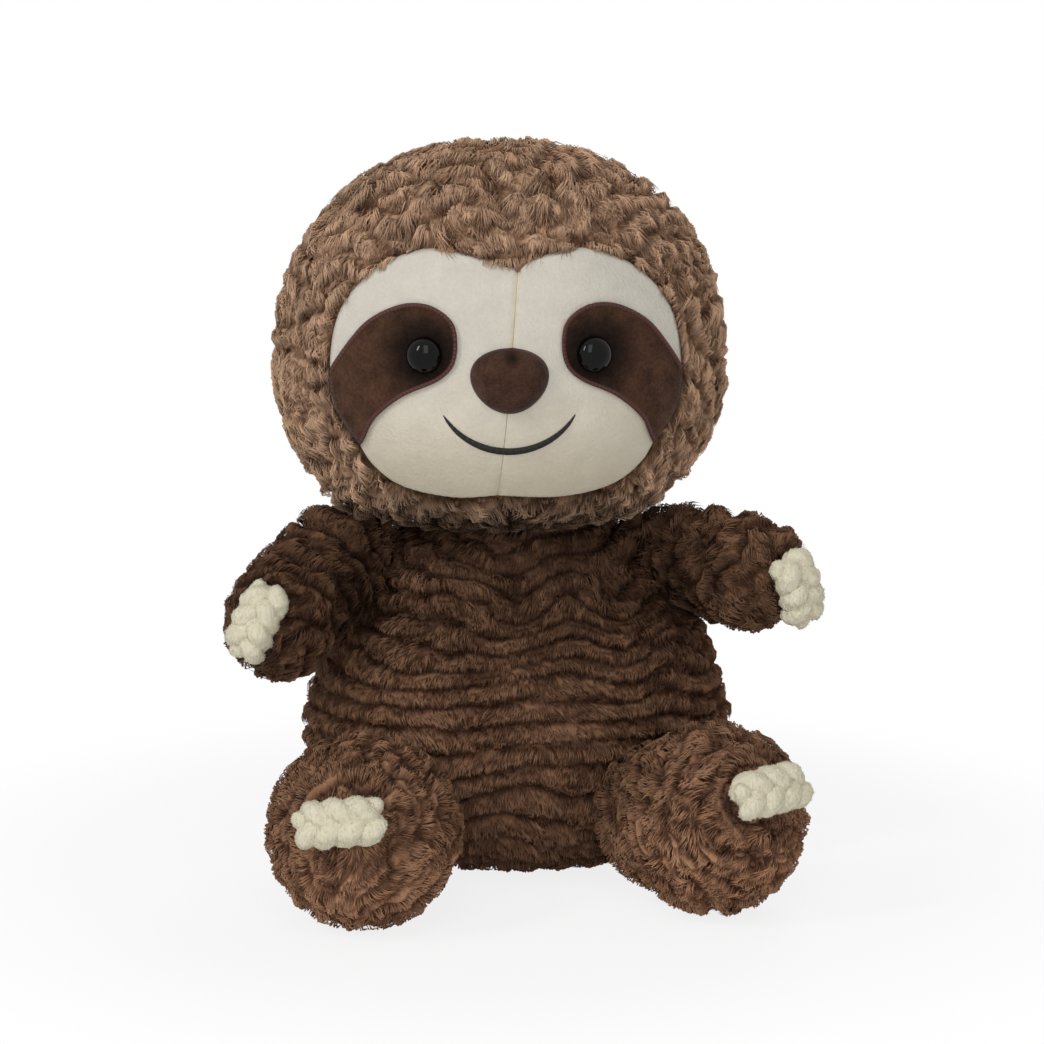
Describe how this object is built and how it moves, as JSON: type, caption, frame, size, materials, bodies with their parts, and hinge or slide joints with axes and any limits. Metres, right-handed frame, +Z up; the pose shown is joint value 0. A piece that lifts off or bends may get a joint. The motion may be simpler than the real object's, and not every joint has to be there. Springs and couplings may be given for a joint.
{
  "type": "plush sloth",
  "caption": "Sitting stuffed toy sloth in brown plush, with a cream face, dark eye patches, a nodding head, swinging arms and legs, and plaited cream claws.",
  "frame": {"origin": "on the floor, at the flat seat under the middle of the body", "axes": "+Z up through the body to the head, -Y the way the face looks, +X towards the right as seen from the front"},
  "size_m": [0.1739, 0.1591, 0.2175],
  "materials": {
    "body_plush": "dark brown wavy long-pile plush, matt",
    "head_plush": "lighter brown tufted long-pile plush, matt",
    "cream_velour": "short-pile cream velour, soft and matt",
    "dark_velour": "short-pile dark brown velour, matt with a slight sheen",
    "satin_thread": "dark red-brown satin stitching",
    "nose_velour": "short-pile brown velour, matt",
    "black_thread": "black embroidery thread, satin",
    "eye_plastic": "polished black moulded plastic",
    "cream_yarn": "thick cream chenille yarn, matt",
    "fibre_filling": "white polyester fibre, matt",
    "pellet_filling": "pouch of off-white plastic pellets, matt",
    "washer_plastic": "natural white moulded plastic, matt",
    "seam_cloth": "brown knitted backing cloth, matt"
  },
  "bodies": {
    "torso": {"body_cover": "body_plush", "body_filling": "fibre_filling", "seat_pouch": "pellet_filling"},
    "neck": {"neck_seam_ring": "seam_cloth"},
    "head": {"head_cover": "head_plush", "head_filling": "fibre_filling", "face_panel_left": "cream_velour", "face_panel_right": "cream_velour", "eye_patch_left": "dark_velour", "eye_patch_right": "dark_velour", "eye_patch_edging_left": "satin_thread", "eye_patch_edging_right": "satin_thread", "eye_left": "eye_plastic", "eye_right": "eye_plastic", "eye_washer_left": "washer_plastic", "eye_washer_right": "washer_plastic", "nose": "nose_velour", "mouth_embroidery": "black_thread"},
    "arm_left": {"arm_left_cover": "body_plush", "arm_left_filling": "fibre_filling", "arm_left_claws": "cream_yarn"},
    "arm_right": {"arm_right_cover": "body_plush", "arm_right_filling": "fibre_filling", "arm_right_claws": "cream_yarn"},
    "leg_left": {"leg_left_cover": "body_plush", "leg_left_filling": "fibre_filling", "leg_left_claws": "cream_yarn"},
    "leg_right": {"leg_right_cover": "body_plush", "leg_right_filling": "fibre_filling", "leg_right_claws": "cream_yarn"}
  },
  "joints": [
    {"name": "head_turn", "type": "hinge", "parent": "torso", "child": "neck", "pos_m": [-0.0015, -0.001, 0.0545], "axis": [0, 0, 1], "range_deg": [-14, 14], "stiffness_Nm_per_rad": 0.4},
    {"name": "head_nod", "type": "hinge", "parent": "neck", "child": "head", "pos_m": [-0.0015, -0.001, 0.0545], "axis": [1, 0, 0], "range_deg": [-6, 5], "stiffness_Nm_per_rad": 0.8, "springref_deg": -0.22},
    {"name": "shoulder_left", "type": "hinge", "parent": "torso", "child": "arm_left", "pos_m": [-0.04773, -0.0073, 0.092], "axis": [-0.7314, 0.682, 0], "range_deg": [-10, 12], "stiffness_Nm_per_rad": 0.1, "springref_deg": 0.46},
    {"name": "shoulder_right", "type": "hinge", "parent": "torso", "child": "arm_right", "pos_m": [0.04773, -0.0073, 0.092], "axis": [-0.766, -0.6428, 0], "range_deg": [-10, 12], "stiffness_Nm_per_rad": 0.1, "springref_deg": 0.45},
    {"name": "hip_left", "type": "hinge", "parent": "torso", "child": "leg_left", "pos_m": [-0.03923, -0.05184, 0.0255], "axis": [-0.9848, 0.1736, 0], "range_deg": [0, 25], "stiffness_Nm_per_rad": 0.15},
    {"name": "hip_right", "type": "hinge", "parent": "torso", "child": "leg_right", "pos_m": [0.04469, -0.04906, 0.0255], "axis": [-0.6947, -0.7193, 0], "range_deg": [0, 25], "stiffness_Nm_per_rad": 0.15}
  ]
}
